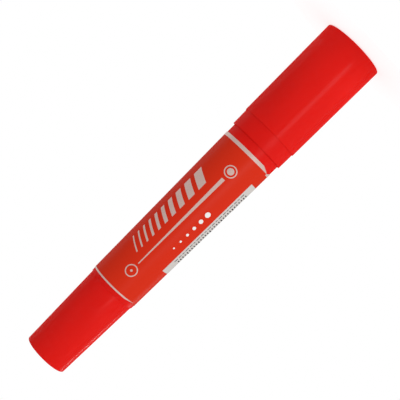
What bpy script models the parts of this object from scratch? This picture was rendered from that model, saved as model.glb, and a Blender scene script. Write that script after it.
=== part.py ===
"""Double-ended permanent marker, closed, standing on the flat end of its broad cap.

Sizes below are in millimetres and the scene is in metres. +Z runs along the marker's axis, from the broad end
to the fine end, and the origin is the centre of the broad cap's end face. Each end has its own frame, which
starts where the cap seats and points out along that end's nib.
"""

import math
from types import SimpleNamespace

import bmesh
import bpy
from mathutils import Matrix, Vector

MM = 0.001

# Clearances
SEAT_GAP = 0.15  # along the axis, between faces that meet
FIT_GAP = 0.1  # on the radius, between pieces that are pressed together
SLIDE_GAP = 0.12  # on the radius, between a cap and what it slides over
END_GAP = 0.3  # along the axis, between pieces that stop short of each other
FILM_GAP = 0.04  # on the radius, under a film

# Barrel: a conical moulded tube with ribs inside that hold the reservoir
BARREL_LENGTH = 65.7
BARREL_BROAD_DIAMETER = 19.5
BARREL_FINE_DIAMETER = 17.7
BARREL_WALL = 1.5
BARREL_EDGE = 0.25
BARREL_RIBS = 6
BARREL_RIB_WIDTH = 1.0
BARREL_RIB_HEIGHT = 0.3  # at the narrow end of the bore
BARREL_RIB_SETBACK = 1.0  # from each plug

# Printed film round the barrel
SLEEVE_FILM = 0.1
SLEEVE_BROAD_MARGIN = 3.2  # bare barrel beside the collar
SLEEVE_FINE_MARGIN = 1.5  # bare barrel beside the fine cap

# Ink reservoir: a fibre rod in a film, with a breather tube along its side
RESERVOIR_FILM = 0.15
BREATHER_DIAMETER = 1.6
BREATHER_BORE = 0.8

# Broad nib: a chisel-cut felt bar
BROAD_NIB_WIDTH = 8.0
BROAD_NIB_THICKNESS = 5.0
BROAD_NIB_CORNER = 0.9
BROAD_NIB_PROJECTION = 9.0
BROAD_NIB_TAIL = 4.5  # pushed into the reservoir
BROAD_NIB_SLANT = math.radians(34)
BROAD_NIB_EDGE_THICKNESS = 2.4
BROAD_NIB_WEDGE_LENGTH = 6.0

# Fine nib: a bullet-pointed fibre rod
FINE_NIB_DIAMETER = 3.6
FINE_NIB_PROJECTION = 4.0
FINE_NIB_TAIL = 4.5
FINE_NIB_POINT_DIAMETER = 1.5
FINE_NIB_POINT_LENGTH = 2.8

# Broad section: nib holder with the collar that shows between cap and barrel
COLLAR_LENGTH = 5.8
COLLAR_STEP = 0.25  # inside the cap's mouth
COLLAR_TAPER = 0.1
BROAD_PLUG_LENGTH = 9.0
BROAD_NECK_LENGTH = 9.0
BROAD_LAND_LENGTH = 4.5
BROAD_NOSE_LENGTH = 5.5
BROAD_NOSE_WALL = 1.0
BROAD_NOSE_FLARE = 1.2
BROAD_SHOULDER = 2.0
VENT_WIDTH = 1.4
VENT_DEPTH = 0.5

# Fine section: nib holder whose flange sits flush in the barrel's end
FINE_FLANGE_LENGTH = 1.2
FINE_FLANGE_STEP = 0.6
FINE_PLUG_LENGTH = 8.0
FINE_NECK_LENGTH = 7.0
FINE_LAND_LENGTH = 3.5
FINE_NOSE_LENGTH = 5.5
FINE_NOSE_WALL = 0.9
FINE_NOSE_FLARE = 1.6
FINE_SHOULDER = 2.7

# Shared by both sections
PLUG_WALL = 1.3
SHOULDER_WALL = 1.5
SECTION_EDGE = 0.25
NECK_EDGE = 0.4
COLLAR_EDGE = 0.2
BEAD_HEIGHT = 0.25
BEAD_WIDTH = 1.6

# Caps: moulded cups, each with a pressed-in inner cap that seals round the nose
BROAD_CAP_LENGTH = 37.8
BROAD_CAP_WALL = 1.25
BROAD_CAP_END_WALL = 1.5
BROAD_CAP_FLARE = 0.35  # growth of the outer radius towards the closed end
BROAD_CAP_DRAFT = 0.1  # loss of the bore's radius towards the closed end
BROAD_CAP_EDGE = 0.3
BROAD_CAP_RIBS = 8
FINE_CAP_LENGTH = 30.25
FINE_CAP_WALL = 1.15
FINE_CAP_END_WALL = 1.3
FINE_CAP_FLARE = -0.8
FINE_CAP_DRAFT = 0.7
FINE_CAP_EDGE = 0.3
FINE_CAP_RIBS = 6
CAP_LIP_EDGE = 0.2
CAP_RIB_WIDTH = 0.9
INNER_CAP_WALL = 0.8
INNER_CAP_FLANGE = 1.2
INNER_CAP_LEAD_IN = 0.4

# How the shapes are divided
SEGMENTS = 40
TUBE_SEGMENTS = 12
ARC_STEPS = 2
RIB_BITE = 0.4  # how far a rib runs into the wall that it grows from
CUTTER_MARGIN = 1.0
SHARP_ANGLE = math.radians(30)

# Finishes: linear colour and roughness
MOULDED_RED = ((0.69, 0.012, 0.009), 0.35)
PRINTED_FILM = ((0.60, 0.026, 0.010), 0.4)
NATURAL_WHITE = ((0.80, 0.80, 0.77), 0.45)
CLEAR_FILM = ((0.75, 0.77, 0.78), 0.2)
INKED_FELT = ((0.33, 0.008, 0.010), 0.9)


def start_scene():
    """An empty scene with one collection for the marker's pieces and one for cutters."""
    for old in list(bpy.data.objects):
        bpy.data.objects.remove(old)
    collections = {}
    for name in ("double_ended_marker", "cutters"):
        collections[name] = bpy.data.collections.new(name)
        bpy.context.scene.collection.children.link(collections[name])
    return collections["double_ended_marker"], collections["cutters"]


PIECES, CUTTERS = start_scene()


def finish_material(name, finish):
    colour, roughness = finish
    material = bpy.data.materials.new(name)
    material.use_nodes = True
    shader = material.node_tree.nodes["Principled BSDF"]
    shader.inputs["Base Color"].default_value = (*colour, 1.0)
    shader.inputs["Roughness"].default_value = roughness
    shader.inputs["Metallic"].default_value = 0.0
    return material


def filleted(corners):
    """Corners (radius, height, optional fillet) as points, with each fillet an arc of ARC_STEPS."""
    points = []
    for index, corner in enumerate(corners):
        here = Vector(corner[:2])
        fillet = corner[2] if len(corner) > 2 else 0.0
        if not fillet:
            points.append(here)
            continue
        back = (Vector(corners[index - 1][:2]) - here).normalized()
        ahead = (Vector(corners[(index + 1) % len(corners)][:2]) - here).normalized()
        half_angle = back.angle(ahead) / 2
        centre = here + (back + ahead).normalized() * fillet / math.sin(half_angle)
        reach = fillet / math.tan(half_angle)
        first = here + back * reach - centre
        last = here + ahead * reach - centre
        for step in range(ARC_STEPS + 1):
            turn = step / ARC_STEPS
            points.append(centre + (first * (1 - turn) + last * turn).normalized() * fillet)
    return points


def turned(name, corners, meets_axis, segments=SEGMENTS):
    """A mesh turned about Z. The corners run down the outer side; a profile off the axis is a closed loop."""
    points = filleted(corners)
    edges = [(i, i + 1) for i in range(len(points) - 1)]
    if not meets_axis:
        edges.append((len(points) - 1, 0))
    outline = bpy.data.meshes.new(name + "_profile")
    outline.from_pydata([(r * MM, 0.0, z * MM) for r, z in points], edges, [])
    profile = bpy.data.objects.new(name + "_profile", outline)
    CUTTERS.objects.link(profile)
    screw = profile.modifiers.new("turn", "SCREW")
    screw.steps = screw.render_steps = segments
    screw.use_merge_vertices = True
    screw.merge_threshold = 1e-6
    mesh = bpy.data.meshes.new_from_object(profile.evaluated_get(bpy.context.evaluated_depsgraph_get()))
    mesh.name = name
    bpy.data.objects.remove(profile)
    bpy.data.meshes.remove(outline)
    mesh.shade_smooth()
    mesh.set_sharp_from_angle(angle=SHARP_ANGLE)
    return mesh


def mesh_from(name, build):
    """A mesh filled in by build, which gets an empty bmesh."""
    shape = bmesh.new()
    build(shape)
    bmesh.ops.recalc_face_normals(shape, faces=shape.faces)
    mesh = bpy.data.meshes.new(name)
    shape.to_mesh(mesh)
    shape.free()
    return mesh


def piece(name, mesh, finish, parent):
    """One piece of the marker, in the frame that carries it."""
    made = bpy.data.objects.new(name, mesh)
    made.data.materials.append(finish_material(name, finish))
    made.parent = parent
    PIECES.objects.link(made)
    return made


def cutter(name, mesh, parent):
    """A helper solid for a Boolean, which isn't part of the marker."""
    made = bpy.data.objects.new(name, mesh)
    made.parent = parent
    made.hide_render = True
    made.display_type = "WIRE"
    CUTTERS.objects.link(made)
    return made


def boolean(target, operation, other):
    modifier = target.modifiers.new(other.name, "BOOLEAN")
    modifier.operation = operation
    modifier.object = other


def rounded_bar(shape, width, thickness, low, high, corner):
    """A bar along Z with its four long edges rounded."""
    size = Matrix.Diagonal((width * MM, thickness * MM, (high - low) * MM, 1.0))
    bmesh.ops.create_cube(shape, size=1.0, matrix=Matrix.Translation((0, 0, (low + high) / 2 * MM)) @ size)
    long_edges = [e for e in shape.edges if abs(e.verts[0].co.z - e.verts[1].co.z) > e.calc_length() / 2]
    bmesh.ops.bevel(
        shape,
        geom=long_edges,
        offset=corner * MM,
        segments=2,
        profile=0.5,
        affect="EDGES",
        material=-1,
    )


def rib_ring(shape, count, width, inner, low, high, outer_at):
    """Ribs round the Z axis, from a straight inner radius to the cone outer_at(height)."""
    for index in range(count):
        made = bmesh.ops.create_cube(shape, size=1.0)["verts"]
        for vert in made:
            height = high if vert.co.z > 0 else low
            radius = outer_at(height) if vert.co.x > 0 else inner
            vert.co = Vector((radius, math.copysign(width / 2, vert.co.y), height)) * MM
        bmesh.ops.rotate(shape, verts=made, matrix=Matrix.Rotation(math.tau * index / count, 3, "Z"))


def cone(low, low_radius, high, high_radius):
    """Radius as a function of height along a straight taper."""
    return lambda height: low_radius + (high_radius - low_radius) * (height - low) / (high - low)


# Heights of the stack, from the broad cap's end face
BROAD_SEAT = BROAD_CAP_LENGTH + SEAT_GAP
BARREL_BASE = BROAD_SEAT + COLLAR_LENGTH + SEAT_GAP
FINE_SEAT = BARREL_BASE + BARREL_LENGTH

# The barrel's cones, in its own frame, which starts at its broad end
barrel_radius = cone(0.0, BARREL_BROAD_DIAMETER / 2, BARREL_LENGTH, BARREL_FINE_DIAMETER / 2)


def bore_radius(height):
    return barrel_radius(height) - BARREL_WALL


FINE_PLUG_BASE = BARREL_LENGTH - FINE_PLUG_LENGTH
RESERVOIR_LOW = BROAD_PLUG_LENGTH + END_GAP
RESERVOIR_HIGH = FINE_PLUG_BASE - END_GAP
RIB_CIRCLE = min(bore_radius(RESERVOIR_LOW), bore_radius(RESERVOIR_HIGH)) - BARREL_RIB_HEIGHT
FILM_RADIUS = RIB_CIRCLE - FIT_GAP
RESERVOIR_RADIUS = FILM_RADIUS - RESERVOIR_FILM - FILM_GAP
BREATHER_OFFSET = RESERVOIR_RADIUS - BREATHER_DIAMETER / 2
FINE_FLANGE_SEAT = bore_radius(BARREL_LENGTH) + FINE_FLANGE_STEP


def end_sizes(name, **sizes):
    """The sizes of one end, worked out from its nib to its cap."""
    end = SimpleNamespace(name=name, **sizes)
    end.nose_radius = end.nib_radius + FIT_GAP + end.nose_wall
    end.land_radius = end.nose_radius + end.nose_flare
    end.neck_radius = end.land_radius + end.shoulder
    end.land_base = end.neck_length
    end.nose_base = end.land_base + end.land_length
    end.nose_tip = end.nose_base + end.nose_length
    end.nib_tip = end.nose_tip + end.nib_projection
    end.plug_end = -(end.barrel_offset + end.plug_length)
    end.nib_tail_end = end.plug_end - END_GAP - end.nib_tail
    end.bead_height = end.neck_length / 2
    end.bore_radius = end.neck_radius + BEAD_HEIGHT + SLIDE_GAP
    end.mouth_radius = end.bore_radius + end.cap_wall
    end.cap_mouth = SEAT_GAP
    end.cap_end = SEAT_GAP + end.cap_length
    end.cap_ceiling = end.cap_end - end.cap_end_wall
    end.cap_bore = cone(end.cap_mouth, end.bore_radius, end.cap_ceiling, end.bore_radius - end.cap_draft)
    end.liner_bore = end.land_radius + SLIDE_GAP
    end.liner_radius = end.liner_bore + INNER_CAP_WALL
    end.liner_mouth = end.neck_length + END_GAP
    end.liner_flange_top = end.liner_mouth + INNER_CAP_FLANGE
    end.liner_end = end.cap_ceiling - SEAT_GAP
    return end


BROAD = end_sizes(
    "broad",
    nib_radius=math.hypot(BROAD_NIB_WIDTH, BROAD_NIB_THICKNESS) / 2,
    nib_projection=BROAD_NIB_PROJECTION,
    nib_tail=BROAD_NIB_TAIL,
    nose_wall=BROAD_NOSE_WALL,
    nose_flare=BROAD_NOSE_FLARE,
    shoulder=BROAD_SHOULDER,
    neck_length=BROAD_NECK_LENGTH,
    land_length=BROAD_LAND_LENGTH,
    nose_length=BROAD_NOSE_LENGTH,
    collar_length=COLLAR_LENGTH,
    barrel_offset=COLLAR_LENGTH + SEAT_GAP,
    plug_length=BROAD_PLUG_LENGTH,
    plug_radius=min(bore_radius(0.0), bore_radius(BROAD_PLUG_LENGTH)) - FIT_GAP,
    cap_length=BROAD_CAP_LENGTH,
    cap_wall=BROAD_CAP_WALL,
    cap_end_wall=BROAD_CAP_END_WALL,
    cap_flare=BROAD_CAP_FLARE,
    cap_draft=BROAD_CAP_DRAFT,
    cap_edge=BROAD_CAP_EDGE,
    cap_ribs=BROAD_CAP_RIBS,
)
BROAD.collar_radius = BROAD.mouth_radius - COLLAR_STEP
BROAD.collar_foot_radius = BROAD.collar_radius - COLLAR_TAPER

FINE = end_sizes(
    "fine",
    nib_radius=FINE_NIB_DIAMETER / 2,
    nib_projection=FINE_NIB_PROJECTION,
    nib_tail=FINE_NIB_TAIL,
    nose_wall=FINE_NOSE_WALL,
    nose_flare=FINE_NOSE_FLARE,
    shoulder=FINE_SHOULDER,
    neck_length=FINE_NECK_LENGTH,
    land_length=FINE_LAND_LENGTH,
    nose_length=FINE_NOSE_LENGTH,
    collar_length=FINE_FLANGE_LENGTH,
    barrel_offset=0.0,
    plug_length=FINE_PLUG_LENGTH,
    plug_radius=min(bore_radius(BARREL_LENGTH), bore_radius(FINE_PLUG_BASE)) - FIT_GAP,
    cap_length=FINE_CAP_LENGTH,
    cap_wall=FINE_CAP_WALL,
    cap_end_wall=FINE_CAP_END_WALL,
    cap_flare=FINE_CAP_FLARE,
    cap_draft=FINE_CAP_DRAFT,
    cap_edge=FINE_CAP_EDGE,
    cap_ribs=FINE_CAP_RIBS,
)
FINE.collar_radius = FINE_FLANGE_SEAT - FIT_GAP
FINE.collar_foot_radius = FINE.collar_radius


def frame(name, height, turned_over=False):
    """An empty on the marker's axis that carries pieces."""
    made = bpy.data.objects.new(name, None)
    made.location.z = height * MM
    made.rotation_euler.x = math.pi if turned_over else 0.0
    PIECES.objects.link(made)
    return made


def detent(radius, height, rise):
    """Four corners of a ring that stands out from a neck, or of its groove in a cap, from the tip end down."""
    flat = BEAD_WIDTH / 4
    foot = BEAD_WIDTH / 2
    return [
        (radius, height + foot),
        (radius + rise, height + flat),
        (radius + rise, height - flat),
        (radius, height - foot),
    ]


def cap(end, parent):
    """The outer cap: a cup with a groove for the neck's bead and ribs that carry the inner cap."""
    rim_bore = end.cap_bore(end.cap_mouth)
    corners = [
        (0.0, end.cap_end),
        (end.mouth_radius + end.cap_flare, end.cap_end, end.cap_edge),
        (end.mouth_radius, end.cap_mouth, CAP_LIP_EDGE),
        (rim_bore, end.cap_mouth, CAP_LIP_EDGE),
        *reversed(detent(end.cap_bore(end.bead_height), end.bead_height, BEAD_HEIGHT)),
        (end.cap_bore(end.cap_ceiling), end.cap_ceiling),
        (0.0, end.cap_ceiling),
    ]
    made = piece(end.name + "_cap", turned(end.name + "_cap", corners, meets_axis=True), MOULDED_RED, parent)
    ribs = mesh_from(
        end.name + "_cap_ribs",
        lambda shape: rib_ring(
            shape,
            end.cap_ribs,
            CAP_RIB_WIDTH,
            end.liner_radius + FIT_GAP,
            end.liner_flange_top + SEAT_GAP,
            end.cap_ceiling + RIB_BITE,
            lambda height: end.cap_bore(height) + RIB_BITE,
        ),
    )
    boolean(made, "UNION", cutter(end.name + "_cap_ribs", ribs, parent))


def inner_cap(end, parent):
    """The inner cap: a thin cup round the nose, held in the outer cap by its flange."""
    lead_in = INNER_CAP_LEAD_IN
    corners = [
        (0.0, end.liner_end),
        (end.liner_radius, end.liner_end, INNER_CAP_WALL),
        (end.liner_radius, end.liner_flange_top),
        (end.cap_bore(end.liner_flange_top) - FIT_GAP, end.liner_flange_top),
        (end.cap_bore(end.liner_flange_top) - FIT_GAP, end.liner_mouth),
        (end.liner_bore + lead_in, end.liner_mouth),
        (end.liner_bore, end.liner_mouth + lead_in),
        (end.liner_bore, end.liner_end - INNER_CAP_WALL),
        (0.0, end.liner_end - INNER_CAP_WALL),
    ]
    mesh = turned(end.name + "_inner_cap", corners, meets_axis=True)
    piece(end.name + "_inner_cap", mesh, NATURAL_WHITE, parent)


def section(end, parent):
    """The nib holder: nose, sealing land, neck with its bead, collar, and the plug in the barrel."""
    cavity = min(end.plug_radius, end.neck_radius) - PLUG_WALL
    corners = [
        (0.0, end.nose_tip),
        (end.nose_radius, end.nose_tip, SECTION_EDGE),
        (end.land_radius, end.nose_base),
        (end.land_radius, end.land_base),
        (end.neck_radius, end.land_base, NECK_EDGE),
        *detent(end.neck_radius, end.bead_height, BEAD_HEIGHT),
        (end.neck_radius, 0.0),
        (end.collar_radius, 0.0, COLLAR_EDGE),
        (end.collar_foot_radius, -end.collar_length, COLLAR_EDGE),
        (end.plug_radius, -end.collar_length),
        (end.plug_radius, end.plug_end, SECTION_EDGE),
        (cavity, end.plug_end),
        (cavity, end.land_base - SHOULDER_WALL),
        (0.0, end.land_base - SHOULDER_WALL),
    ]
    mesh = turned(end.name + "_section", corners, meets_axis=True)
    return piece(end.name + "_section", mesh, MOULDED_RED, parent)


def broad_nib(end, parent):
    """A felt bar with a wedge ground on both faces and its end cut off at a slant."""

    def build(shape):
        rounded_bar(
            shape, BROAD_NIB_WIDTH, BROAD_NIB_THICKNESS, end.nib_tail_end, end.nib_tip, BROAD_NIB_CORNER
        )
        side_fall = (BROAD_NIB_THICKNESS - BROAD_NIB_EDGE_THICKNESS) / 2
        slant_point = Vector((BROAD_NIB_WIDTH / 2, 0.0, end.nib_tip))
        slant_normal = Vector((-math.sin(BROAD_NIB_SLANT), 0.0, math.cos(BROAD_NIB_SLANT)))
        cuts = [(slant_point, slant_normal)]
        for side in (-1, 1):
            edge = Vector((0.0, side * BROAD_NIB_EDGE_THICKNESS / 2, end.nib_tip))
            cuts.append((edge, Vector((0.0, side * BROAD_NIB_WEDGE_LENGTH, side_fall)).normalized()))
        for point, normal in cuts:
            whole = [*shape.verts, *shape.edges, *shape.faces]
            cut = bmesh.ops.bisect_plane(
                shape, geom=whole, plane_co=point * MM, plane_no=normal, dist=1e-7, clear_outer=True
            )
            rim = [e for e in cut["geom_cut"] if isinstance(e, bmesh.types.BMEdge)]
            bmesh.ops.holes_fill(shape, edges=rim, sides=0)

    piece("broad_nib", mesh_from("broad_nib", build), INKED_FELT, parent)


def fine_nib(end, parent):
    """A fibre rod that narrows to a small rounded point."""
    point = FINE_NIB_POINT_DIAMETER / 2
    corners = [
        (0.0, end.nib_tip),
        (point, end.nib_tip, point / 2),
        (end.nib_radius, end.nib_tip - FINE_NIB_POINT_LENGTH, FINE_NIB_POINT_LENGTH / 2),
        (end.nib_radius, end.nib_tail_end),
        (0.0, end.nib_tail_end),
    ]
    mesh = turned("fine_nib", corners, meets_axis=True, segments=SEGMENTS // 2)
    piece("fine_nib", mesh, INKED_FELT, parent)


def broad_nib_channel(end, parent):
    """Cuts room for the broad nib, from its tail in the reservoir to the nose."""
    mesh = mesh_from(
        "broad_nib_channel",
        lambda shape: rounded_bar(
            shape,
            BROAD_NIB_WIDTH + 2 * FIT_GAP,
            BROAD_NIB_THICKNESS + 2 * FIT_GAP,
            end.nib_tail_end - END_GAP,
            end.nose_tip + CUTTER_MARGIN,
            BROAD_NIB_CORNER,
        ),
    )
    return cutter("broad_nib_channel", mesh, parent)


def broad_vent(end, parent):
    """Cuts an air groove beside each wide face of the broad nib, through the nose."""

    def build(shape):
        low, high = end.land_base - SHOULDER_WALL - CUTTER_MARGIN, end.nose_tip + CUTTER_MARGIN
        depth = BROAD_NIB_THICKNESS + 2 * FIT_GAP + 2 * VENT_DEPTH
        size = Matrix.Diagonal((VENT_WIDTH * MM, depth * MM, (high - low) * MM, 1.0))
        centre = Matrix.Translation((0.0, 0.0, (low + high) / 2 * MM))
        bmesh.ops.create_cube(shape, size=1.0, matrix=centre @ size)

    return cutter("broad_vent", mesh_from("broad_vent", build), parent)


def round_channel(name, radius, low, high, parent, segments, offset=0.0):
    """A round cutter along Z, with its axis moved along X."""

    def build(shape):
        place = Matrix.Translation((offset * MM, 0.0, (low + high) / 2 * MM))
        bmesh.ops.create_cone(
            shape,
            cap_ends=True,
            segments=segments,
            radius1=radius * MM,
            radius2=radius * MM,
            depth=(high - low) * MM,
            matrix=place,
        )

    return cutter(name, mesh_from(name, build), parent)


def tube(name, outer, inner, low, high, finish, parent, segments=SEGMENTS):
    """A plain tube; outer and inner are radii as functions of height."""
    corners = [
        (outer(high), high),
        (outer(low), low),
        (inner(low), low),
        (inner(high), high),
    ]
    return piece(name, turned(name, corners, meets_axis=False, segments=segments), finish, parent)


def barrel(parent):
    """The conical tube, with the fine flange's seat at its end and ribs in its bore."""
    seat = BARREL_LENGTH - FINE_FLANGE_LENGTH - SEAT_GAP
    corners = [
        (barrel_radius(BARREL_LENGTH), BARREL_LENGTH, BARREL_EDGE),
        (barrel_radius(0.0), 0.0, BARREL_EDGE),
        (bore_radius(0.0), 0.0),
        (bore_radius(seat), seat),
        (FINE_FLANGE_SEAT, seat),
        (FINE_FLANGE_SEAT, BARREL_LENGTH),
    ]
    made = piece("barrel", turned("barrel", corners, meets_axis=False), MOULDED_RED, parent)
    ribs = mesh_from(
        "barrel_ribs",
        lambda shape: rib_ring(
            shape,
            BARREL_RIBS,
            BARREL_RIB_WIDTH,
            RIB_CIRCLE,
            BROAD_PLUG_LENGTH + BARREL_RIB_SETBACK,
            FINE_PLUG_BASE - BARREL_RIB_SETBACK,
            lambda height: bore_radius(height) + RIB_BITE,
        ),
    )
    boolean(made, "UNION", cutter("barrel_ribs", ribs, parent))


def print_sleeve(parent):
    tube(
        "print_sleeve",
        lambda height: barrel_radius(height) + FILM_GAP + SLEEVE_FILM,
        lambda height: barrel_radius(height) + FILM_GAP,
        SLEEVE_BROAD_MARGIN,
        BARREL_LENGTH - SLEEVE_FINE_MARGIN,
        PRINTED_FILM,
        parent,
    )


def reservoir(parent, nib_channels):
    """The fibre rod with sockets for both nibs' tails, its film, and the breather tube in a groove."""
    corners = [
        (0.0, RESERVOIR_HIGH),
        (RESERVOIR_RADIUS, RESERVOIR_HIGH),
        (RESERVOIR_RADIUS, RESERVOIR_LOW),
        (0.0, RESERVOIR_LOW),
    ]
    rod = piece("ink_reservoir", turned("ink_reservoir", corners, meets_axis=True), INKED_FELT, parent)
    groove = round_channel(
        "breather_groove",
        BREATHER_DIAMETER / 2 + FIT_GAP,
        RESERVOIR_LOW - CUTTER_MARGIN,
        RESERVOIR_HIGH + CUTTER_MARGIN,
        parent,
        TUBE_SEGMENTS,
        BREATHER_OFFSET,
    )
    for channel in (groove, *nib_channels):
        boolean(rod, "DIFFERENCE", channel)
    tube(
        "reservoir_film",
        lambda height: FILM_RADIUS,
        lambda height: FILM_RADIUS - RESERVOIR_FILM,
        RESERVOIR_LOW,
        RESERVOIR_HIGH,
        CLEAR_FILM,
        parent,
    )
    straw = tube(
        "breather_tube",
        lambda height: BREATHER_DIAMETER / 2,
        lambda height: BREATHER_BORE / 2,
        RESERVOIR_LOW,
        RESERVOIR_HIGH,
        CLEAR_FILM,
        parent,
        TUBE_SEGMENTS,
    )
    straw.location.x = BREATHER_OFFSET * MM


def main():
    barrel_frame = frame("barrel_frame", BARREL_BASE)
    broad_frame = frame("broad_end_frame", BROAD_SEAT, turned_over=True)
    fine_frame = frame("fine_end_frame", FINE_SEAT)

    barrel(barrel_frame)
    print_sleeve(barrel_frame)

    broad_channel = broad_nib_channel(BROAD, broad_frame)
    broad_holder = section(BROAD, broad_frame)
    for room in (broad_channel, broad_vent(BROAD, broad_frame)):
        boolean(broad_holder, "DIFFERENCE", room)
    broad_nib(BROAD, broad_frame)

    fine_channel = round_channel(
        "fine_nib_channel",
        FINE.nib_radius + FIT_GAP,
        FINE.nib_tail_end - END_GAP,
        FINE.nose_tip + CUTTER_MARGIN,
        fine_frame,
        SEGMENTS // 2,
    )
    boolean(section(FINE, fine_frame), "DIFFERENCE", fine_channel)
    fine_nib(FINE, fine_frame)

    reservoir(barrel_frame, (broad_channel, fine_channel))

    for end, end_frame in ((BROAD, broad_frame), (FINE, fine_frame)):
        cap(end, end_frame)
        inner_cap(end, end_frame)


main()
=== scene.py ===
"""Finish of a double-ended permanent marker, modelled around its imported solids.

The marker stands on its broad cap with +Z along its axis. Its sizes are written in millimetres, and they
are multiplied by MM where a mesh is made. Angles round it start at its front, which faces -Y, and grow
towards -X. The floor, the light and the camera are in metres.
"""

import itertools
import math

import bmesh
import bpy
from mathutils import Matrix, Vector


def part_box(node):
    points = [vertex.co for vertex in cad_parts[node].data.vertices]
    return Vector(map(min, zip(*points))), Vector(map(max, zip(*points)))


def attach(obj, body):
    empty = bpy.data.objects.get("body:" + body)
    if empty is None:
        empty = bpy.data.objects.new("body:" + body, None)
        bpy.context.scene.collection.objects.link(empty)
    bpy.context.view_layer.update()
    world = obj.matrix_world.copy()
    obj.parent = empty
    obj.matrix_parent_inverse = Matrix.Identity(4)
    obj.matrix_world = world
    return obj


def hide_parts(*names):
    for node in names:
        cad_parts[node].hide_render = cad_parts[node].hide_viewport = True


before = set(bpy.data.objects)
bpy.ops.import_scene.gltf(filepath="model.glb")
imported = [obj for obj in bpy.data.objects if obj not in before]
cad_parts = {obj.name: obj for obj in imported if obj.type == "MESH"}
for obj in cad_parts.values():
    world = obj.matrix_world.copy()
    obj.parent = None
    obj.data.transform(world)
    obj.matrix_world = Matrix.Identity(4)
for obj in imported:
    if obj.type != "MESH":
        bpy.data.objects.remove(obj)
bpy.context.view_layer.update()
scene = bpy.context.scene
scene.view_settings.view_transform = "Standard"
MM = 0.001


# Ink reservoir: a rod of bundled polyester fibre soaked in red ink, in a wrap of clear film, with a thin
# breather tube along its side. It is pushed into the barrel before the nib holders and never shows, so its
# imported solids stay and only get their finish.
INK_RED = (0.30, 0.006, 0.008, 1.0)
INK_RED_DRY = (0.46, 0.030, 0.028, 1.0)
FILM_CLEAR = (0.72, 0.74, 0.76, 1.0)


def add_node(tree, kind, inputs=None, **settings):
    """A node with its settings, and its inputs given as values or as sockets to link."""
    made = tree.nodes.new(kind)
    for name, value in settings.items():
        setattr(made, name, value)
    for key, value in (inputs or {}).items():
        if isinstance(value, bpy.types.NodeSocket):
            tree.links.new(value, made.inputs[key])
        else:
            made.inputs[key].default_value = value
    return made


def finish_group(name, inputs):
    """An empty node group that takes the inputs named and puts out a colour, a roughness and a normal."""
    group = bpy.data.node_groups.new(name, "ShaderNodeTree")
    for socket_name, kind, value in inputs:
        socket = group.interface.new_socket(socket_name, in_out="INPUT", socket_type=kind)
        socket.default_value = value
    for socket_name, kind in (
        ("Colour", "NodeSocketColor"),
        ("Roughness", "NodeSocketFloat"),
        ("Normal", "NodeSocketVector"),
    ):
        group.interface.new_socket(socket_name, in_out="OUTPUT", socket_type=kind)
    return group, group.nodes.new("NodeGroupInput").outputs, group.nodes.new("NodeGroupOutput").inputs


def stretched_noise(tree, stretch, scale, detail=2.0):
    """Noise on object coordinates, drawn out along the marker's axis where stretch is over 1."""
    place = tree.nodes.new("ShaderNodeTexCoord").outputs["Object"]
    drawn = add_node(tree, "ShaderNodeMapping", {"Vector": place, "Scale": (1.0, 1.0, 1.0 / stretch)})
    return add_node(
        tree,
        "ShaderNodeTexNoise",
        {"Vector": drawn.outputs["Vector"], "Scale": scale, "Detail": detail},
    ).outputs["Fac"]


def spread_about(tree, noise, middle, spread):
    """Noise turned into a value that swings about a middle by a spread, both of which may be sockets."""
    swing = add_node(tree, "ShaderNodeMath", {0: noise, 1: 0.5}, operation="SUBTRACT")
    wide = add_node(tree, "ShaderNodeMath", {0: swing.outputs[0], 1: spread}, operation="MULTIPLY")
    return add_node(tree, "ShaderNodeMath", {0: wide.outputs[0], 1: middle}, operation="ADD").outputs[0]


def fibre_bundle_group():
    """Fine fibres along the axis: streaks of ink in the colour, and ridges in the normal."""
    group, given, out = finish_group(
        "fibre_bundle",
        (
            ("Wet", "NodeSocketColor", INK_RED),
            ("Dry", "NodeSocketColor", INK_RED_DRY),
            ("Roughness", "NodeSocketFloat", 0.9),
            ("Fibre Height", "NodeSocketFloat", 0.00003),
        ),
    )
    fibres = stretched_noise(group, stretch=22.0, scale=5200.0, detail=3.0)
    clumps = stretched_noise(group, stretch=3.0, scale=620.0)
    blend = add_node(group, "ShaderNodeMath", {0: fibres, 1: clumps}, operation="MULTIPLY")
    shade = add_node(
        group,
        "ShaderNodeMapRange",
        {"Value": blend.outputs[0], "From Min": 0.14, "From Max": 0.42},
    )
    colour = add_node(
        group,
        "ShaderNodeMix",
        {0: shade.outputs["Result"], "A": given["Wet"], "B": given["Dry"]},
        data_type="RGBA",
    )
    ridges = add_node(
        group,
        "ShaderNodeBump",
        {"Height": fibres, "Distance": given["Fibre Height"], "Strength": 1.0},
    )
    roughness = spread_about(group, clumps, given["Roughness"], spread=0.15)
    group.links.new(colour.outputs["Result"], out["Colour"])
    group.links.new(roughness, out["Roughness"])
    group.links.new(ridges.outputs["Normal"], out["Normal"])
    return group


def finished(name, group, values, **shader_values):
    """A material whose colour, roughness and normal come from a group, with the rest set on the shader."""
    material = bpy.data.materials.new(name)
    material.use_nodes = True
    tree = material.node_tree
    shader = tree.nodes["Principled BSDF"]
    surface = add_node(tree, "ShaderNodeGroup", node_tree=group)
    for socket_name, value in values.items():
        surface.inputs[socket_name].default_value = value
    tree.links.new(surface.outputs["Colour"], shader.inputs["Base Color"])
    tree.links.new(surface.outputs["Roughness"], shader.inputs["Roughness"])
    tree.links.new(surface.outputs["Normal"], shader.inputs["Normal"])
    for socket_name, value in shader_values.items():
        shader.inputs[socket_name.replace("_", " ")].default_value = value
    return material


fibre_bundle = fibre_bundle_group()
inked_fibre = finished("inked_fibre", fibre_bundle, {}, Specular_IOR_Level=0.2)


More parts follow.
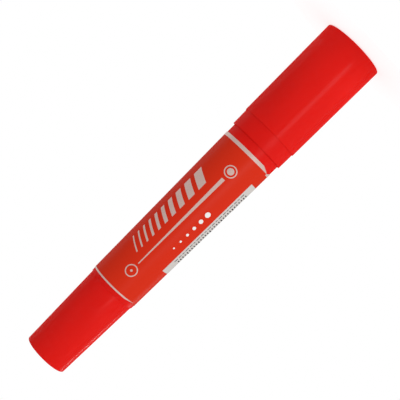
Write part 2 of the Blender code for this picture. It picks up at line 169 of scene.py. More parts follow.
def moulded_skin_group():
    """Moulded plastic: slow drifts of tone, flow lines along the axis and a fine satin grain."""
    group, given, out = finish_group(
        "moulded_skin",
        (
            ("Colour", "NodeSocketColor", FILM_CLEAR),
            ("Tone Spread", "NodeSocketFloat", 0.10),
            ("Speckle", "NodeSocketFloat", 0.03),
            ("Roughness", "NodeSocketFloat", 0.35),
            ("Roughness Spread", "NodeSocketFloat", 0.12),
            ("Grain Height", "NodeSocketFloat", 0.0000015),
        ),
    )
    drift = stretched_noise(group, stretch=2.5, scale=150.0)
    flow = stretched_noise(group, stretch=30.0, scale=2400.0)
    grain = stretched_noise(group, stretch=1.0, scale=9000.0)
    tone = spread_about(group, drift, middle=1.0, spread=given["Tone Spread"])
    tone = spread_about(group, grain, tone, given["Speckle"])
    colour = add_node(group, "ShaderNodeHueSaturation", {"Color": given["Colour"], "Value": tone})
    height = add_node(group, "ShaderNodeMath", {0: flow, 1: grain}, operation="ADD")
    bump = add_node(
        group,
        "ShaderNodeBump",
        {"Height": height.outputs[0], "Distance": given["Grain Height"], "Strength": 1.0},
    )
    roughness = spread_about(group, flow, given["Roughness"], given["Roughness Spread"])
    group.links.new(colour.outputs["Color"], out["Colour"])
    group.links.new(roughness, out["Roughness"])
    group.links.new(bump.outputs["Normal"], out["Normal"])
    return group


moulded_skin = moulded_skin_group()
clear_film = finished("clear_film", moulded_skin, {"Roughness": 0.18}, Specular_IOR_Level=0.5)
for node_name, material in (
    ("ink_reservoir", inked_fibre),
    ("reservoir_film", clear_film),
    ("breather_tube", clear_film),
):
    node_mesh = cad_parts[node_name].data
    node_mesh.materials.clear()
    node_mesh.materials.append(material)


# Barrel: a conical tube of red polypropylene, injection moulded. Only a narrow strip shows at each end of
# the printed film, and its fine end has a shallow seat for the nib holder's flange.
BARREL_BROAD_RADIUS = 9.75
BARREL_FINE_RADIUS = 8.85
BARREL_WALL = 1.5
BARREL_EDGE = 0.03
FLANGE_SEAT_RADIUS = 7.95
FLANGE_SEAT_DEPTH = 1.35
# A little darker than the caps' red. This is painted shade, for the shade that the caps' lips cast on the
# collar and on the bare strips of barrel. The satin finish itself is real.
SHADED_SATIN_RED = (0.70, 0.0085, 0.0056, 1.0)
GLOW_SHARE = 0.5  # how much of the light goes into the plastic before it comes back
GLOW_DEPTH = 0.5
GLOSS_IOR = 1.9
TURN_STEPS = 144
ROUND_STEPS = 4
SMOOTH_ANGLE = math.radians(32)
MERGE_REACH = 0.0001  # points nearer to each other than this become one


def piece_from(name, shape, material, body, slot, *nodes):
    """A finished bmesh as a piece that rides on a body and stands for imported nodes."""
    bmesh.ops.recalc_face_normals(shape, faces=shape.faces)
    mesh = bpy.data.meshes.new(name)
    shape.to_mesh(mesh)
    shape.free()
    mesh.shade_smooth()
    mesh.set_sharp_from_angle(angle=SMOOTH_ANGLE)
    mesh.materials.append(material)
    made = bpy.data.objects.new(name, mesh)
    scene.collection.objects.link(made)
    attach(made, body)
    if nodes:
        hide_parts(*nodes)
    return made


def turned(outline, closed=False):
    """Spins corners (radius, height, rounding) about the axis. A closed outline goes back to its start."""
    shape = bmesh.new()
    corners = [shape.verts.new((radius * MM, 0.0, height * MM)) for radius, height, _ in outline]
    pairs = list(zip(corners, corners[1:]))
    if closed:
        pairs.append((corners[-1], corners[0]))
    for pair in pairs:
        shape.edges.new(pair)
    for corner, (_, _, rounding) in zip(corners, outline):
        if rounding:
            bmesh.ops.bevel(
                shape,
                geom=[corner],
                offset=rounding * MM,
                affect="VERTICES",
                segments=ROUND_STEPS,
                profile=0.5,
                material=-1,
            )
    bmesh.ops.spin(
        shape,
        geom=[*shape.verts, *shape.edges],
        cent=(0.0, 0.0, 0.0),
        axis=(0.0, 0.0, 1.0),
        angle=math.tau,
        steps=TURN_STEPS,
        use_merge=True,
    )
    bmesh.ops.remove_doubles(shape, verts=shape.verts, dist=MERGE_REACH * MM)
    return shape


def moulded_red(name, colour, roughness, gloss, gloss_roughness):
    """Red polypropylene, which light enters a little way, under a thin gloss."""
    return finished(
        name,
        moulded_skin,
        {"Colour": colour, "Roughness": roughness},
        Specular_IOR_Level=0.0,
        Subsurface_Weight=GLOW_SHARE,
        Subsurface_Scale=GLOW_DEPTH * MM,
        Coat_Weight=gloss,
        Coat_IOR=GLOSS_IOR,
        Coat_Roughness=gloss_roughness,
    )


shaded_satin_red = moulded_red("shaded_satin_red", SHADED_SATIN_RED, roughness=0.55, gloss=0.05, gloss_roughness=0.34)
barrel_low, barrel_high = (corner.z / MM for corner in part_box("barrel"))


def barrel_radius(height):
    """Outer radius of the barrel's cone at a height."""
    along = (height - barrel_low) / (barrel_high - barrel_low)
    return BARREL_BROAD_RADIUS + (BARREL_FINE_RADIUS - BARREL_BROAD_RADIUS) * along


seat_floor = barrel_high - FLANGE_SEAT_DEPTH
barrel_outline = [
    (barrel_radius(barrel_high), barrel_high, BARREL_EDGE),
    (barrel_radius(barrel_low), barrel_low, BARREL_EDGE),
    (barrel_radius(barrel_low) - BARREL_WALL, barrel_low, BARREL_EDGE),
    (barrel_radius(seat_floor) - BARREL_WALL, seat_floor, 0.0),
    (FLANGE_SEAT_RADIUS, seat_floor, 0.0),
    (FLANGE_SEAT_RADIUS, barrel_high, BARREL_EDGE),
]
piece_from("barrel_tube", turned(barrel_outline, closed=True), shaded_satin_red, "barrel", "moulded_red", "barrel")


# Printed film: a sheet of orange-red film wrapped round the barrel and lapped over its own start. It was
# laid on a little askew, so its edges climb round the barrel and miss each other at the lap. Its corners are
# cut off at a slant.
FILM_ORANGE = (0.635, 0.0245, 0.006, 1.0)
FILM_THICKNESS = 0.08
FILM_GAP = 0.04
FILM_SKEW = math.tan(math.radians(0.95))
FILM_BOW = 0.0002  # how its edges fall away on both sides of the front
FILM_MEAN_RADIUS = 9.4
LAP_END = math.radians(62)  # where the outer end of the film stops
LAP = math.radians(8)
LAP_RISE = math.radians(7)
BROAD_CORNER = (3.6, 1.22)  # how far round a cut corner reaches, and how deep it is at the film's end
FINE_CORNER = (4.6, 0.53)
FILM_COLUMNS = 264
FILM_ROWS = 6
EDGE_REACH = 0.01  # from a film edge to what still counts as on it


def lap_lift(angle):
    """How far the film climbs to pass over its own start."""
    share = (angle - (LAP_END - LAP - LAP_RISE)) / LAP_RISE
    share = min(max(share, 0.0), 1.0)
    return (FILM_THICKNESS + FILM_GAP / 2) * share * share * (3 - 2 * share)


def film_climb(around):
    """How far the film has climbed at a place round the barrel, against its height at the front."""
    return -FILM_SKEW * around - FILM_BOW * around**2


def on_film(around, height, lift):
    """A point of the film from millimetres round the barrel, height at the front, and lift off the film."""
    angle = around / FILM_MEAN_RADIUS
    climbed = height + film_climb(around)
    radius = barrel_radius(climbed) + FILM_GAP + lap_lift(angle) + lift
    return Vector((-radius * math.sin(angle), -radius * math.cos(angle), climbed)) * MM


def wrapped(shape, lift, thickness):
    """Lays a flat shape, drawn in millimetres round and along the film, on the film as a thin layer."""
    for vert in shape.verts:
        vert.co = on_film(vert.co.x, vert.co.y, lift)
    for face in shape.faces:
        face.normal_update()
        if face.normal.dot(face.calc_center_median() * Vector((1, 1, 0))) < 0:
            face.normal_flip()
    bmesh.ops.solidify(shape, geom=shape.faces[:], thickness=-thickness * MM)


def patch(shape, left, right, low, high, columns, rows=1):
    """A flat rectangular patch of the film, in millimetres round and along it."""
    size = Matrix.Diagonal(((right - left) / 2, (high - low) / 2, 1.0, 1.0))
    place = Matrix.Translation(((left + right) / 2, (low + high) / 2, 0.0))
    return bmesh.ops.create_grid(
        shape,
        x_segments=columns,
        y_segments=rows,
        size=1.0,
        matrix=place @ size,
    )["verts"]


film_low, film_high = (corner.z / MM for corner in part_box("print_sleeve"))
film_end = LAP_END * FILM_MEAN_RADIUS
film_start = film_end - (math.tau + LAP) * FILM_MEAN_RADIUS


def corner_cut(around, length, depth):
    """How much of the film's nearest corner is cut away at a place round the barrel."""
    from_end = min(around - film_start, film_end - around)
    return depth * max(1 - from_end / length, 0.0)


def film_patch(shape, left, low, high, rows=1):
    """A patch up to the film's outer end. Where it reaches an edge of the film it follows the cut corner."""
    for vert in patch(shape, left, film_end, low, high, FILM_COLUMNS, rows):
        if vert.co.y < film_low + EDGE_REACH:
            vert.co.y += corner_cut(vert.co.x, *BROAD_CORNER)
        elif vert.co.y > film_high - EDGE_REACH:
            vert.co.y -= corner_cut(vert.co.x, *FINE_CORNER)


printed_film = finished(
    "printed_film",
    moulded_skin,
    {"Colour": FILM_ORANGE, "Roughness": 0.5, "Roughness Spread": 0.06, "Tone Spread": 0.06},
    Specular_IOR_Level=0.0,
    Coat_Weight=0.056,
    Coat_IOR=GLOSS_IOR,
    Coat_Roughness=0.36,
)
film_sheet = bmesh.new()
film_patch(film_sheet, film_start, film_low, film_high, FILM_ROWS)
wrapped(film_sheet, 0.0, FILM_THICKNESS)
piece_from("print_film", film_sheet, printed_film, "barrel", "printed_film", "print_sleeve")


# Inks on the film: screen-printed layers of silver, white, pale grey and dark grey. Silver edges the film
# and draws slanted bars and a wedge between two eyes, with white dots beside them. The pale panel, which the
# lap cuts in two, carries a millimetre scale and a dashed rule.
INK_THICKNESS = 0.02
INK_GAP = 0.005  # from an ink to what is under it
INK_LIFT = FILM_THICKNESS + INK_GAP
OVERPRINT_LIFT = INK_LIFT + INK_THICKNESS + INK_GAP
SILVER = (0.57, 0.41, 0.37, 1.0)
INK_WHITE = (0.83, 0.82, 0.80, 1.0)
INK_PALE = (0.60, 0.56, 0.53, 1.0)
INK_GREY = (0.045, 0.045, 0.05, 1.0)
ARC_STEP = 0.45  # longest stretch of an ink shape round the barrel before it bends
DISC_STEPS = 32
BAND_WIDTH = 1.27
RING_WIDTH = 0.54
RING_BARE = 6.4  # from the film's start to the ring's
BARS = 10
BAR_FIRST = 3.3
BAR_LAST = 0.5
BAR_GAP = 1.75
BAR_BASE = 14.0  # heights on the film are from its broad edge
BAR_LEFT = -8.4
BAR_RIGHT = -2.8
BAR_SLANT = math.tan(math.radians(24))
GAUGE_MIDDLE = 0.2
GAUGE_LOW = 11.9
GAUGE_HIGH = 49.7
GAUGE_BROAD = 0.62
GAUGE_FINE = 0.16
EYE_RADIUS = 2.1
EYE_LINE = 0.36
BROAD_EYE = 8.7
BROAD_EYE_DOT = 1.15
FINE_EYE = 52.8
FINE_EYE_DOT = 0.42
DOTS = 6
DOT_AROUND = 5.0
DOT_BASE = 23.5
DOT_PITCH = 3.0
DOT_FIRST = 0.95
DOT_SHRINK = 0.8
PANEL_LOW = 6.9
PANEL_HIGH = 46.4
PANEL_LEFT = 8.5  # the panel starts on the film's outer end and goes on past the lap
PANEL_WIDTH = 15.5
PANEL_MARGIN = 0.1  # from the lap's edge
TICK_WIDTH = 0.4
TICK_INSET = 0.9
TICK_MARGIN = 4  # millimetres left bare at each end of the panel
TICK_LENGTHS = (1.5, 2.4, 3.4)  # each millimetre, each fifth and each tenth
RULE_AROUND = 9.6
RULE_WIDTH = 0.32
DASHES = (1.5, 0.8, 1.1)  # lengths that the dashed rule goes through again and again
DASH_GAP = 0.5


def bands(shape):
    """The silver edge at each end of the film."""
    film_patch(shape, film_start, film_low, film_low + BAND_WIDTH)
    film_patch(shape, film_start + RING_BARE, film_high - RING_WIDTH, film_high)


def slanted_bars(shape):
    """Slanted bars, each thinner than the last."""
    shrink = (BAR_LAST / BAR_FIRST) ** (1 / (BARS - 1))
    low = film_low + BAR_BASE
    columns = math.ceil((BAR_RIGHT - BAR_LEFT) / ARC_STEP)
    for index in range(BARS):
        width = BAR_FIRST * shrink**index
        for vert in patch(shape, BAR_LEFT, BAR_RIGHT, low, low + width, columns):
            vert.co.y += (vert.co.x - BAR_LEFT) * BAR_SLANT
        low += width + BAR_GAP


def gauge_line(shape):
    """A long thin wedge, broad at the broad end."""
    high = film_low + GAUGE_HIGH
    for vert in patch(shape, -1.0, 1.0, film_low + GAUGE_LOW, high, 2):
        broad_share = (high - vert.co.y) / (GAUGE_HIGH - GAUGE_LOW)
        half = GAUGE_FINE + (GAUGE_BROAD - GAUGE_FINE) * broad_share
        vert.co.x = GAUGE_MIDDLE + vert.co.x * half


def disc(shape, around, height, radius, hole=0.0):
    """A round dot, or a ring where it has a hole, divided finely enough to bend round the barrel."""
    start = shape.verts.new((around + hole, height, 0.0))
    stop = shape.verts.new((around + radius, height, 0.0))
    line = shape.edges.new((start, stop))
    divisions = math.ceil((radius - hole) / ARC_STEP) - 1
    if divisions:
        bmesh.ops.subdivide_edges(shape, edges=[line], cuts=divisions)
    spoke = [v for v in shape.verts if not v.link_faces]
    bmesh.ops.spin(
        shape,
        geom=[*spoke, *{e for v in spoke for e in v.link_edges}],
        cent=(around, height, 0.0),
        axis=(0.0, 0.0, 1.0),
        angle=math.tau,
        steps=DISC_STEPS,
        use_merge=True,
    )
    bmesh.ops.remove_doubles(shape, verts=shape.verts, dist=MERGE_REACH)


def eyes(shape):
    """A ring with a dot in it at each end of the wedge: a large dot for broad and a small one for fine."""
    for height, dot in ((BROAD_EYE, BROAD_EYE_DOT), (FINE_EYE, FINE_EYE_DOT)):
        disc(shape, GAUGE_MIDDLE, film_low + height, EYE_RADIUS, EYE_RADIUS - EYE_LINE)
        disc(shape, GAUGE_MIDDLE, film_low + height, dot)


def dot_row(shape):
    """White dots that shrink towards the fine end."""
    for index in range(DOTS):
        height = film_low + DOT_BASE + DOT_PITCH * index
        disc(shape, DOT_AROUND, height, DOT_FIRST * DOT_SHRINK**index)


panel_base = film_low + PANEL_LOW
past_lap = film_end - math.tau * FILM_MEAN_RADIUS + PANEL_MARGIN
past_lap_base = panel_base + film_climb(film_end) - film_climb(past_lap)


def panel(shape):
    """The pale panel, in two parts that line up across the lap."""
    strip = film_end - PANEL_LEFT
    for left, width, low in (
        (PANEL_LEFT, strip, panel_base),
        (past_lap, PANEL_WIDTH - strip, past_lap_base),
    ):
        patch(shape, left, left + width, low, low + PANEL_HIGH - PANEL_LOW, math.ceil(width / ARC_STEP))


def scale_ticks(shape):
    """A plain millimetre scale along the panel's near edge."""
    for step in range(TICK_MARGIN, math.floor(PANEL_HIGH - PANEL_LOW) - TICK_MARGIN):
        length = TICK_LENGTHS[(step % 5 == 0) + (step % 10 == 0)]
        left = past_lap + TICK_INSET
        middle = past_lap_base + step
        columns = math.ceil(length / ARC_STEP)
        patch(shape, left, left + length, middle - TICK_WIDTH / 2, middle + TICK_WIDTH / 2, columns)


def dashed_rule(shape):
    """A broken line beside the scale, on the film's outer end."""
    low, stop = panel_base + TICK_MARGIN, film_low + PANEL_HIGH - TICK_MARGIN
    left, right = RULE_AROUND - RULE_WIDTH / 2, RULE_AROUND + RULE_WIDTH / 2
    for dash in itertools.cycle(DASHES):
        if low + dash > stop:
            break
        patch(shape, left, right, low, low + dash, 1)
        low += dash + DASH_GAP


def ink_material(name, colour, roughness, metallic, speckle):
    """A printing ink, with metal flakes in it where it is metallic."""
    return finished(
        name,
        moulded_skin,
        {"Colour": colour, "Roughness": roughness, "Tone Spread": 0.1, "Speckle": speckle},
        Metallic=metallic,
        Specular_IOR_Level=0.0,
        Coat_Weight=0.06,
        Coat_IOR=GLOSS_IOR,
        Coat_Roughness=0.28,
    )


for ink_name, colour, roughness, metallic, speckle, lift, drawings in (
    ("silver_ink", SILVER, 0.55, 0.25, 0.7, INK_LIFT, (bands, slanted_bars, gauge_line, eyes)),
    ("white_ink", INK_WHITE, 0.45, 0.0, 0.1, INK_LIFT, (dot_row,)),
    ("pale_ink", INK_PALE, 0.45, 0.0, 0.1, INK_LIFT, (panel,)),
    ("grey_ink", INK_GREY, 0.45, 0.0, 0.3, OVERPRINT_LIFT, (scale_ticks, dashed_rule)),
):
    ink = bmesh.new()
    for draw in drawings:
        draw(ink)
    wrapped(ink, lift, INK_THICKNESS)
    material = ink_material(ink_name, colour, roughness, metallic, speckle)
    piece_from(ink_name, ink, material, "barrel", "printed_film")


# Nib holders: red polypropylene, pressed into the barrel's ends. Each has a neck with a bead for the cap to
# snap over, a land that the inner cap seals on and a nose round the nib. The broad one's collar shows under
# its cap.
SEAT_GAP = 0.15
JOINT_LINE = 0.004  # what shows of the gap between pieces that butt
JOINT_EDGE = 0.03
TIGHT, SMALL, SOFT = 0.1, 0.2, 0.4  # roundings of moulded corners
BEAD_RISE = 0.25
BEAD_WIDTH = 1.6
COLLAR_RADIUS = 10.39
COLLAR_FOOT_RADIUS = 10.29
BROAD_PLUG_RADIUS = 8.03
BROAD_CAVITY_RADIUS = 6.73
BROAD_CAVITY_END = 7.5  # heights on a holder are from its cap's seat, towards the nib's tip
BROAD_NECK_RADIUS = 9.02
BROAD_NECK_BEAD = 4.5
BROAD_NECK_END = 9.0
BROAD_LAND_RADIUS = 7.02
BROAD_LAND_END = 13.5
BROAD_NOSE_RADIUS = 5.82
BROAD_NIB_WIDTH = 8.0
BROAD_NIB_THICKNESS = 5.0
BROAD_NIB_CORNER = 0.9
NIB_CLEARANCE = 0.1
VENT_WIDTH = 1.4
VENT_DEPTH = 0.5
CUTTER_REACH = 1.0  # how far the slot's cutter stands out of the nose
FLANGE_RADIUS = 7.85
FLANGE_LENGTH = 1.2
FINE_PLUG_RADIUS = 7.25
FINE_CAVITY_RADIUS = 5.8
FINE_CAVITY_END = 5.5
FINE_NECK_RADIUS = 7.1
FINE_NECK_BEAD = 3.5
FINE_NECK_END = 7.0
FINE_LAND_RADIUS = 4.4
FINE_LAND_END = 10.5
FINE_NOSE_RADIUS = 2.8
FINE_NIB_RADIUS = 1.8
broad_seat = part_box("broad_cap")[1].z / MM + SEAT_GAP
fine_seat = barrel_high


def bead(radius, height, rise, out):
    """Corners of the ring on a neck, or of its groove in a cap, going out towards the nib's tip."""
    return [
        (radius, height - out * BEAD_WIDTH / 2, TIGHT),
        (radius + rise, height - out * BEAD_WIDTH / 5, SMALL),
        (radius + rise, height + out * BEAD_WIDTH / 5, SMALL),
        (radius, height + out * BEAD_WIDTH / 2, TIGHT),
    ]


def nib_bar(shape, width, thickness, low, high, corner):
    """A bar along the axis with its long edges rounded."""
    size = Matrix.Diagonal((width * MM, thickness * MM, (high - low) * MM, 1.0))
    bmesh.ops.create_cube(shape, size=1.0, matrix=Matrix.Translation((0, 0, (low + high) / 2 * MM)) @ size)
    bmesh.ops.bevel(
        shape,
        geom=[e for e in shape.edges if abs(e.verts[0].co.z - e.verts[1].co.z) > e.calc_length() / 2],
        offset=corner * MM,
        segments=ROUND_STEPS,
        profile=0.5,
        affect="EDGES",
        material=-1,
    )


def carve(target, shape):
    """Cuts a bmesh out of a piece for good."""
    bmesh.ops.recalc_face_normals(shape, faces=shape.faces)
    mesh = bpy.data.meshes.new("carving")
    shape.to_mesh(mesh)
    shape.free()
    carving = bpy.data.objects.new("carving", mesh)
    scene.collection.objects.link(carving)
    cut = target.modifiers.new("cut", "BOOLEAN")
    cut.operation = "DIFFERENCE"
    cut.object = carving
    carved = bpy.data.meshes.new_from_object(target.evaluated_get(bpy.context.evaluated_depsgraph_get()))
    carved.set_sharp_from_angle(angle=SMOOTH_ANGLE)
    target.modifiers.clear()
    target.data = carved
    bpy.data.objects.remove(carving)


broad_nose_tip, broad_plug_end = (corner.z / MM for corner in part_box("broad_section"))
broad_holder_outline = [
    (0.0, broad_nose_tip, 0.0),
    (BROAD_NOSE_RADIUS, broad_nose_tip, SMALL),
    (BROAD_LAND_RADIUS, broad_seat - BROAD_LAND_END, SOFT),
    (BROAD_LAND_RADIUS, broad_seat - BROAD_NECK_END, SMALL),
    (BROAD_NECK_RADIUS, broad_seat - BROAD_NECK_END, SOFT),
    *bead(BROAD_NECK_RADIUS, broad_seat - BROAD_NECK_BEAD, BEAD_RISE, 1),
    (BROAD_NECK_RADIUS, broad_seat, TIGHT),
    (COLLAR_RADIUS, broad_seat, JOINT_EDGE),
    (COLLAR_FOOT_RADIUS, barrel_low - JOINT_LINE, JOINT_EDGE),
    (BROAD_PLUG_RADIUS, barrel_low - JOINT_LINE, TIGHT),
    (BROAD_PLUG_RADIUS, broad_plug_end, SOFT),
    (BROAD_CAVITY_RADIUS, broad_plug_end, SMALL),
    (BROAD_CAVITY_RADIUS, broad_seat - BROAD_CAVITY_END, SMALL),
    (0.0, broad_seat - BROAD_CAVITY_END, 0.0),
]
fine_plug_end, fine_nose_tip = (corner.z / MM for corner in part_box("fine_section"))
fine_bore = FINE_NIB_RADIUS + NIB_CLEARANCE
fine_holder_outline = [
    (fine_bore, fine_nose_tip, TIGHT),
    (FINE_NOSE_RADIUS, fine_nose_tip, SMALL),
    (FINE_LAND_RADIUS, fine_seat + FINE_LAND_END, SOFT),
    (FINE_LAND_RADIUS, fine_seat + FINE_NECK_END, SMALL),
    (FINE_NECK_RADIUS, fine_seat + FINE_NECK_END, SOFT),
    *bead(FINE_NECK_RADIUS, fine_seat + FINE_NECK_BEAD, BEAD_RISE, -1),
    (FINE_NECK_RADIUS, fine_seat, TIGHT),
    (FLANGE_RADIUS, fine_seat, SMALL),
    (FLANGE_RADIUS, fine_seat - FLANGE_LENGTH, TIGHT),
    (FINE_PLUG_RADIUS, fine_seat - FLANGE_LENGTH, TIGHT),
    (FINE_PLUG_RADIUS, fine_plug_end, SOFT),
    (FINE_CAVITY_RADIUS, fine_plug_end, SMALL),
    (FINE_CAVITY_RADIUS, fine_seat + FINE_CAVITY_END, SMALL),
    (fine_bore, fine_seat + FINE_CAVITY_END, 0.0),
]
broad_holder = piece_from(
    "broad_nib_holder",
    turned(broad_holder_outline),
    shaded_satin_red,
    "barrel",
    "moulded_red",
    "broad_section",
)
for width, thickness, corner in (
    (BROAD_NIB_WIDTH, BROAD_NIB_THICKNESS, BROAD_NIB_CORNER),
    (VENT_WIDTH, BROAD_NIB_THICKNESS + 2 * VENT_DEPTH, TIGHT),
):
    opening = bmesh.new()
    nib_bar(
        opening,
        width + 2 * NIB_CLEARANCE,
        thickness + 2 * NIB_CLEARANCE,
        broad_nose_tip - CUTTER_REACH,
        broad_seat,
        corner,
    )
    carve(broad_holder, opening)
piece_from(
    "fine_nib_holder",
    turned(fine_holder_outline, closed=True),
    shaded_satin_red,
    "barrel",
    "moulded_red",
    "fine_section",
)


# Nibs: the broad one is a bar of pressed felt, ground to a wedge and cut at a slant. The fine one is a rod
# of bonded fibre, turned to a bullet point. Both are pushed through their noses into the reservoir.
SLANT = math.radians(34)
WEDGE_EDGE = 2.4
WEDGE_LENGTH = 6.0
FELT_EDGE = 0.22
FELT_ROUND_STEPS = 2
POINT_RADIUS = 0.75
POINT_LENGTH = 2.8
POINT_SHOULDER = 0.8
broad_tip, broad_tail = (corner.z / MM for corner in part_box("broad_nib"))
fine_tail, fine_tip = (corner.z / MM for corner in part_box("fine_nib"))
broad_felt = bmesh.new()
nib_bar(broad_felt, BROAD_NIB_WIDTH, BROAD_NIB_THICKNESS, broad_tip, broad_tail, BROAD_NIB_CORNER)
wedge_fall = (BROAD_NIB_THICKNESS - WEDGE_EDGE) / 2
grinds = [
    (Vector((BROAD_NIB_WIDTH / 2, 0, broad_tip)), Vector((-math.sin(SLANT), 0, -math.cos(SLANT)))),
    (Vector((0, WEDGE_EDGE / 2, broad_tip)), Vector((0, WEDGE_LENGTH, -wedge_fall))),
    (Vector((0, -WEDGE_EDGE / 2, broad_tip)), Vector((0, -WEDGE_LENGTH, -wedge_fall))),
]
for point, normal in grinds:
    cut = bmesh.ops.bisect_plane(
        broad_felt,
        geom=[*broad_felt.verts, *broad_felt.edges, *broad_felt.faces],
        plane_co=point * MM,
        plane_no=normal.normalized(),
        dist=MERGE_REACH * MM,
        clear_outer=True,
    )
    rim = [e for e in cut["geom_cut"] if isinstance(e, bmesh.types.BMEdge)]
    bmesh.ops.holes_fill(broad_felt, edges=rim, sides=0)
bmesh.ops.bevel(
    broad_felt,
    geom=[e for e in broad_felt.edges if e.calc_face_angle(0.0) > SMOOTH_ANGLE],
    offset=FELT_EDGE * MM,
    segments=FELT_ROUND_STEPS,
    profile=0.5,
    affect="EDGES",
    material=-1,
)
piece_from("broad_felt_nib", broad_felt, inked_fibre, "barrel", "inked_felt", "broad_nib")
fine_rod = [
    (0.0, fine_tip, 0.0),
    (POINT_RADIUS, fine_tip, SOFT),
    (FINE_NIB_RADIUS, fine_tip - POINT_LENGTH, POINT_SHOULDER),
    (FINE_NIB_RADIUS, fine_tail, SMALL),
    (0.0, fine_tail, 0.0),
]
piece_from("fine_fibre_nib", turned(fine_rod), inked_fibre, "barrel", "inked_felt", "fine_nib")


# Inner caps: thin cups of natural polyethylene, pushed into the outer caps up to their flanges. They close
# round the noses so that the nibs don't dry out.
NATURAL_WHITE = (0.78, 0.77, 0.73, 1.0)
CUP_WALL = 0.8
CUP_CORNER = 0.7
CUP_FLANGE = 1.2
CUP_LEAD_IN = 0.4
BROAD_CUP_BORE = 7.137
BROAD_CUP_FLANGE_RADIUS = 9.26
FINE_CUP_BORE = 4.52
FINE_CUP_FLANGE_RADIUS = 7.16
natural_white = finished(
    "natural_white",
    moulded_skin,
    {"Colour": NATURAL_WHITE, "Roughness": 0.48, "Tone Spread": 0.05},
    Specular_IOR_Level=0.4,
)
for end, out, bore, flange in (
    ("broad", -1, BROAD_CUP_BORE, BROAD_CUP_FLANGE_RADIUS),
    ("fine", 1, FINE_CUP_BORE, FINE_CUP_FLANGE_RADIUS),
):
    low, high = (corner.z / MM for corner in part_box(end + "_inner_cap"))
    closed_end, mouth = (high, low) if out > 0 else (low, high)
    cup_outline = [
        (0.0, closed_end, 0.0),
        (bore + CUP_WALL, closed_end, CUP_CORNER),
        (bore + CUP_WALL, mouth + out * CUP_FLANGE, SMALL),
        (flange, mouth + out * CUP_FLANGE, SMALL),
        (flange, mouth, SMALL),
        (bore + CUP_LEAD_IN, mouth, SMALL),
        (bore, mouth + out * CUP_LEAD_IN, SMALL),
        (bore, closed_end - out * CUP_WALL, CUP_CORNER),
        (0.0, closed_end - out * CUP_WALL, 0.0),
    ]
    piece_from(
        end + "_inner_cup",
        turned(cup_outline),
        natural_white,
        end + "_cap",
        "inner_cap_white",
        end + "_inner_cap",
    )


# Caps: red polypropylene cups, pulled off straight. Each is flat at its closed end, with the small sunk mark
# of the moulding gate, and has a groove near its mouth for the neck's bead.
GATE_RADIUS = 1.5
GATE_DEPTH = 0.25
GATE_CORNER = 0.08
CAP_EDGE = 0.3
CAP_INNER_CORNER = 0.6
# Its green and blue are raised a little. This is a painted pale sheen, in place of the reflection that the
# thin gloss on the caps doesn't give.
CAP_RED_AND_SHEEN = (0.718, 0.0113, 0.0082, 1.0)
CAP_SIZES = (  # end, way out, seat, radius and bore at mouth and end, end wall, height of the bead's groove
    ("broad", -1, broad_seat, (10.637, 10.987), (9.387, 9.287), 1.5, BROAD_NECK_BEAD),
    ("fine", 1, fine_seat, (8.62, 7.82), (7.47, 6.77), 1.3, FINE_NECK_BEAD),
)
cap_red_and_sheen = moulded_red("cap_red_and_sheen", CAP_RED_AND_SHEEN, roughness=0.5, gloss=0.03, gloss_roughness=0.2)
for end, out, seat, (mouth_radius, end_radius), (mouth_bore, end_bore), end_wall, groove in CAP_SIZES:
    low, high = (corner.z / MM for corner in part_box(end + "_cap"))
    closed_end = high if out > 0 else low
    mouth = seat + out * JOINT_LINE
    ceiling = closed_end - out * end_wall
    cap_outline = [
        (0.0, closed_end - out * GATE_DEPTH, 0.0),
        (GATE_RADIUS - GATE_DEPTH, closed_end - out * GATE_DEPTH, GATE_CORNER),
        (GATE_RADIUS, closed_end, GATE_CORNER),
        (end_radius, closed_end, CAP_EDGE),
        (mouth_radius, mouth, JOINT_EDGE),
        (mouth_bore, mouth, SMALL),
        *bead(mouth_bore, seat + out * groove, BEAD_RISE, out),
        (end_bore, ceiling, CAP_INNER_CORNER),
        (0.0, ceiling, 0.0),
    ]
    piece_from(end + "_cap_shell", turned(cap_outline), cap_red_and_sheen, end + "_cap", "moulded_red", end + "_cap")


# Floor: a plain pale round sheet under the marker, which takes its soft shadow. It glows a little, so that
# it looks as white as the tent, and stops short of the soft boxes, so that the long highlight reaches down
# the broad cap.
FLOOR_RADIUS = 0.032
FLOOR_STEPS = 96
FLOOR_DROP = 0.0002
FLOOR_PALE = (0.45, 0.45, 0.45, 1.0)
FLOOR_GLOW = 0.56  # what it gives the marker
FLOOR_LIFT = 0.70  # what the camera sees of it
floor_shape = bmesh.new()
bmesh.ops.create_circle(
    floor_shape,
    cap_ends=True,
    segments=FLOOR_STEPS,
    radius=FLOOR_RADIUS,
    matrix=Matrix.Translation((0.0, 0.0, -FLOOR_DROP)),
)
floor_mesh = bpy.data.meshes.new("floor")
floor_shape.to_mesh(floor_mesh)
floor_shape.free()
floor = bpy.data.objects.new("floor", floor_mesh)
scene.collection.objects.link(floor)


def seen_ray(tree):
    """1 for rays of the camera, and for mirror and glass rays, which show the background too."""
    path = tree.nodes.new("ShaderNodeLightPath")
    near = add_node(
        tree,
        "ShaderNodeMath",
        {0: path.outputs["Is Camera Ray"], 1: path.outputs["Is Glossy Ray"]},
        operation="MAXIMUM",
    )
    return add_node(
        tree,
        "ShaderNodeMath",
        {0: near.outputs[0], 1: path.outputs["Is Transmission Ray"]},
        operation="MAXIMUM",
    ).outputs[0]


floor_material = bpy.data.materials.new("pale_floor")
floor_material.use_nodes = True
floor_tree = floor_material.node_tree
floor_shader = floor_tree.nodes["Principled BSDF"]
floor_shader.inputs["Base Color"].default_value = FLOOR_PALE
floor_shader.inputs["Roughness"].default_value = 1.0
floor_shader.inputs["Specular IOR Level"].default_value = 0.0
floor_shader.inputs["Emission Color"].default_value = (1.0, 1.0, 1.0, 1.0)
glow = add_node(
    floor_tree,
    "ShaderNodeMix",
    {0: seen_ray(floor_tree), "A": FLOOR_GLOW, "B": FLOOR_LIFT},
    data_type="FLOAT",
)
floor_tree.links.new(glow.outputs[0], floor_shader.inputs["Emission Strength"])
floor_mesh.materials.append(floor_material)


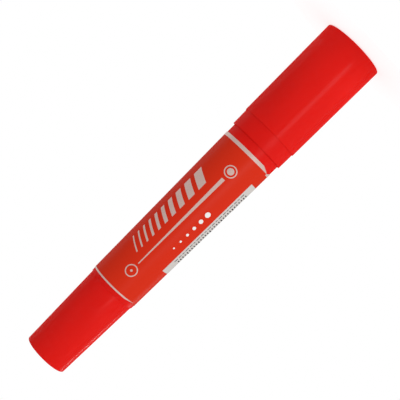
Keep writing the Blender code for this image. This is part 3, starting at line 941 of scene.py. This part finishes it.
# Light: a white tent all round, a wide soft box at the side, towards -X, a narrow one in front of its edge
# that draws the long highlight, and a weak one at the back. A high strip towards -X and a box behind towards
# +X only show in the gloss, as the sheen along both sides.
TENT_LEVEL = 0.66
SOFT_BOX_DISTANCE = 0.7
GLOSS_ONLY = ("rim_strip", "left_box")
SOFT_BOXES = (  # name, degrees from the front, width, height, middle height and watts
    ("side_box", 75, 1.2, 0.5, 0.05, 1.05),
    ("edge_box", 32.5, 0.13, 0.51, -0.085, 1.64),
    ("rim_strip", 130, 0.02, 0.2, 0.3, 1.7),
    ("back_box", 200, 0.08, 0.8, 0.07, 1.0),
    ("left_box", 237, 0.5, 0.8, 0.07, 2.2),
)
world = bpy.data.worlds.new("tent")
scene.world = world
world.use_nodes = True
tent = world.node_tree
shown = add_node(tent, "ShaderNodeMix", {0: seen_ray(tent), "A": TENT_LEVEL, "B": 1.0}, data_type="FLOAT")
tent.links.new(shown.outputs[0], tent.nodes["Background"].inputs["Strength"])
tent.nodes["Background"].inputs["Color"].default_value = (1.0, 1.0, 1.0, 1.0)

for box_name, angle, width, height, middle, power in SOFT_BOXES:
    box_light = bpy.data.lights.new(box_name, "AREA")
    box_light.shape = "RECTANGLE"
    box_light.size, box_light.size_y = width, height
    box_light.energy = power
    box = bpy.data.objects.new(box_name, box_light)
    towards = Vector((-math.sin(math.radians(angle)), -math.cos(math.radians(angle)), 0.0))
    facing = towards.to_track_quat("Z", "Y").to_matrix().to_4x4()
    place = towards * SOFT_BOX_DISTANCE + Vector((0.0, 0.0, middle))
    box.matrix_world = Matrix.Translation(place) @ facing
    box.visible_diffuse = box_name not in GLOSS_ONLY
    scene.collection.objects.link(box)


# Camera: a long lens, square to the marker's axis and a little towards its broad end. It is rolled, so that
# the marker lies aslant in the picture with its fine end at the lower left.
CAMERA_DISTANCE = 0.348
CAMERA_HEIGHT = 0.0604
AIM_HEIGHT = 0.0691
CAMERA_ASIDE = 0.0003
CAMERA_ROLL = math.radians(225.15)
LENS = 97.0
SENSOR_WIDTH = 36.0
CLIP_START = 0.01
camera_data = bpy.data.cameras.new("camera")
camera_data.sensor_width = SENSOR_WIDTH
camera_data.lens = LENS
camera_data.clip_start = CLIP_START
camera = bpy.data.objects.new("camera", camera_data)
eye = Vector((CAMERA_ASIDE, -CAMERA_DISTANCE, CAMERA_HEIGHT))
gaze = Vector((CAMERA_ASIDE, 0.0, AIM_HEIGHT)) - eye
gaze_turn = gaze.to_track_quat("-Z", "Y").to_matrix().to_4x4()
camera.matrix_world = Matrix.Translation(eye) @ gaze_turn @ Matrix.Rotation(CAMERA_ROLL, 4, "Z")
scene.collection.objects.link(camera)
scene.camera = camera
